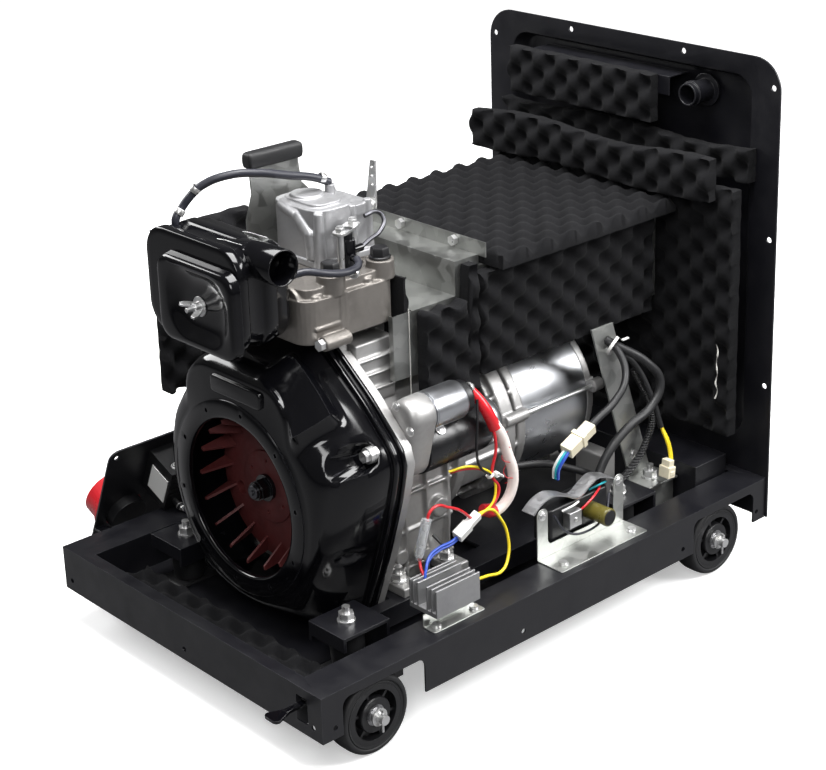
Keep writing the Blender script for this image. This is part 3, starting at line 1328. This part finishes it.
def socket():
    """A red outer socket; the part of it behind the panel is black."""
    obj = from_cad("cee_socket")
    obj.data.materials.append(PLASTIC)
    for face in obj.data.polygons:
        at = (face.center - ORIGIN) / MM
        if (at - on_panel(0, 1, 0)).dot(PANEL_Y) < 0:
            face.material_index = 1


# ---------- castings and the rest ----------
def cylinder_head():
    """The head with its inlet tube, the raised seam round its waist and the bosses on its deck."""
    inlet = (138, -58, 431)
    extra = Shape().turn(inlet, X, [(0, 20), (1.5, 21), (36, 21), (50, 17)])
    extra.turn(inlet, X, [(0, 24), (6, 24)])
    for x, width, proud in ((188, 3.2, 1.8), (195.5, 3.2, 1.2)):
        extra.box((x, -94 - proud, 391), (x + width, -60, 442 + proud))
        extra.box((x, -88, 452), (x + width, 30, 454.2 + proud * 0.3))
    for x, y, r, top in ((236, -86, 7, 449), (206, -66, 6, 456), (160, -84, 8, 446), (252, -50, 8, 458)):
        extra.turn((x, y, 436), Z, [(0, r + 1), (top - 437, r), (top - 436, r - 1)])
    extra.box((150, -95.6, 405), (188, -90, 409))
    cast_from_cad("cylinder_head", 1.1, 3, extra)


def rocker_cover():
    """The cover with its screw lugs."""
    extra = Shape()
    for x, y in ((205, -40), (255, -42), (284, -36), (284, 30)):
        extra.turn((x, y, 457), Z, [(0, 7.5), (6, 7), (66, 5.2), (66.6, 4.4)])
    cast_from_cad("rocker_cover", 0.9, 2, extra, COVER_ALLOY)


def castings():
    for node, voxel in (("crankcase", 1.7), ("adaptor", 1.7), ("rear_bracket", 1.8)):
        cast_from_cad(node, voxel, 3, material=ALLOY)
    cylinder_head()
    rocker_cover()


def head_plugs():
    """Black caps with a domed hexagon on a thin flange."""
    caps = Shape()
    flange = [(0, 10.6), (8, 10.6), (8.2, 13), (10.6, 13.4), (11.4, 12.6), (11.6, 10)]
    for x in (187, 263):
        caps.turn((x, -80, 456), Z, flange)
        caps.turn((x, -80, 467), Z, [(0, 11.4), (1.2, 11.6), (9, 11.2), (11, 10.2), (12, 7)], n=6, spin=8)
    stand_in("head_caps", caps, "head_plugs", sharp=40)


def tail_strip():
    screws = Shape().screw((606, -134.2, 262), -Y, 5, 3).screw((655, -134.2, 96), -Y, 5, 3)
    detail("tail_strip_screws", screws, "zinc")


OWN_FINISH = {"tail_support": BRIGHT_GALV, "crankshaft": DARK_STEEL}


def remaining():
    """Every CAD node that nothing else stands for keeps its own shape, with softened edges."""
    for node in sorted(frame["nodes"]):
        if not frame["nodes"][node].hide_render:
            from_cad(node, OWN_FINISH.get(node))


# ---------- studio ----------
WHITE_LIGHT = (1, 1, 1, 1)


def pale_floor():
    """White to the eye, but grey to the light it throws back on the machine."""
    paint = Paint("pale_floor", (0.93, 0.93, 0.93), 0.6)
    paint.vary(paint.noise(3, 2), 0.55, 0.65)
    seen = paint.node("ShaderNodeLightPath").outputs["Is Camera Ray"]
    mix = paint.mix(seen, (0.13, 0.13, 0.135, 1), (0.95, 0.95, 0.95, 1))
    paint.link(mix.outputs[MIX_OUT], paint.shader.inputs["Base Color"])
    glow = paint.node("ShaderNodeMath", operation="MULTIPLY")
    paint.link(seen, glow.inputs[0])
    far = paint.node("ShaderNodeCameraData").outputs["View Distance"]
    paint.link(paint.spread(far, 0.42, 0.9, 2.9, 4.2), glow.inputs[1])
    paint.link(glow.outputs[0], paint.shader.inputs["Emission Strength"])
    paint.set("Emission Color", WHITE_LIGHT)
    return paint.material


def floor():
    """A wide slab whose top lies just below the tyres."""
    slab = Shape().box((-9000, -9000, -50.6), (9000, 9000, -50.05)).mesh("studio_floor")
    slab = add("studio_floor", slab)
    slab.data.materials.append(pale_floor())


def lamps():
    """Square lamps, each with its place, its size in metres and its power, aimed at the machine."""
    middle = ORIGIN + Vector((380, 0, 250)) * MM
    for name, place, size, power in (
            ("key_top", (300, -350, 2300), 1.5, 105),
            ("near_left", (-1500, -1800, 1900), 1.0, 30),
            ("near_right", (1700, -1700, 1500), 1.1, 62),
            ("far_rim", (-500, 2100, 1500), 1.0, 34)):
        light = bpy.data.lights.new(name, "AREA")
        light.size = size
        light.energy = power
        lamp = add(name, light)
        lamp.location = ORIGIN + Vector(place) * MM
        lamp.rotation_euler = (middle - lamp.location).to_track_quat("-Z", "Y").to_euler()


def backdrop():
    """A world that looks white but lights the machine dimly."""
    world = bpy.data.worlds.new("studio")
    bpy.context.scene.world = world
    world.use_nodes = True
    nodes, links = world.node_tree.nodes, world.node_tree.links
    seen = nodes.new("ShaderNodeLightPath")
    strength = nodes.new("ShaderNodeMapRange")
    strength.inputs["To Min"].default_value = 0.10
    strength.inputs["To Max"].default_value = 1.0
    links.new(seen.outputs["Is Camera Ray"], strength.inputs["Value"])
    links.new(strength.outputs["Result"], nodes["Background"].inputs["Strength"])
    nodes["Background"].inputs["Color"].default_value = WHITE_LIGHT
    bpy.context.scene.view_settings.view_transform = "Standard"


EYE = Vector((-1143.8, -1727.3, 1205.2))


def camera():
    """A long lens at standing height off the near front corner, shifted to frame the machine."""
    azimuth, elevation, roll = (math.radians(a) for a in (-43.0, 19.52, -1.34))
    back = Vector((math.sin(azimuth) * math.cos(elevation), -math.cos(azimuth) * math.cos(elevation),
                   math.sin(elevation)))
    flat = Vector((math.cos(azimuth), math.sin(azimuth), 0))
    right = flat * math.cos(roll) + back.cross(flat) * math.sin(roll)
    data = bpy.data.cameras.new("camera")
    data.lens = 84.44
    data.sensor_width = 36
    data.shift_x = -0.0573
    data.shift_y = -0.1313
    cam = add("camera", data)
    turn = Matrix((right, back.cross(right), back)).transposed().to_4x4()
    cam.matrix_world = Matrix.Translation(ORIGIN + EYE * MM) @ turn
    bpy.context.scene.camera = cam


for build in (end_panel, tyres, mount_rubbers, buffer_block, fan_shroud, fan, air_cleaner, snorkel,
              air_cleaner_cover, wing_nut, foam, foam_edges, starter, solenoid, starter_fixings, hoses,
              starter_cables, sense_wires, sense_fittings, looms, loom_fittings, rail_bracket_sheets,
              avr_strap, avr_block, avr_fixings, control_details, socket, head_plugs, tail_strip, castings,
              remaining, floor, lamps, backdrop, camera):
    build()
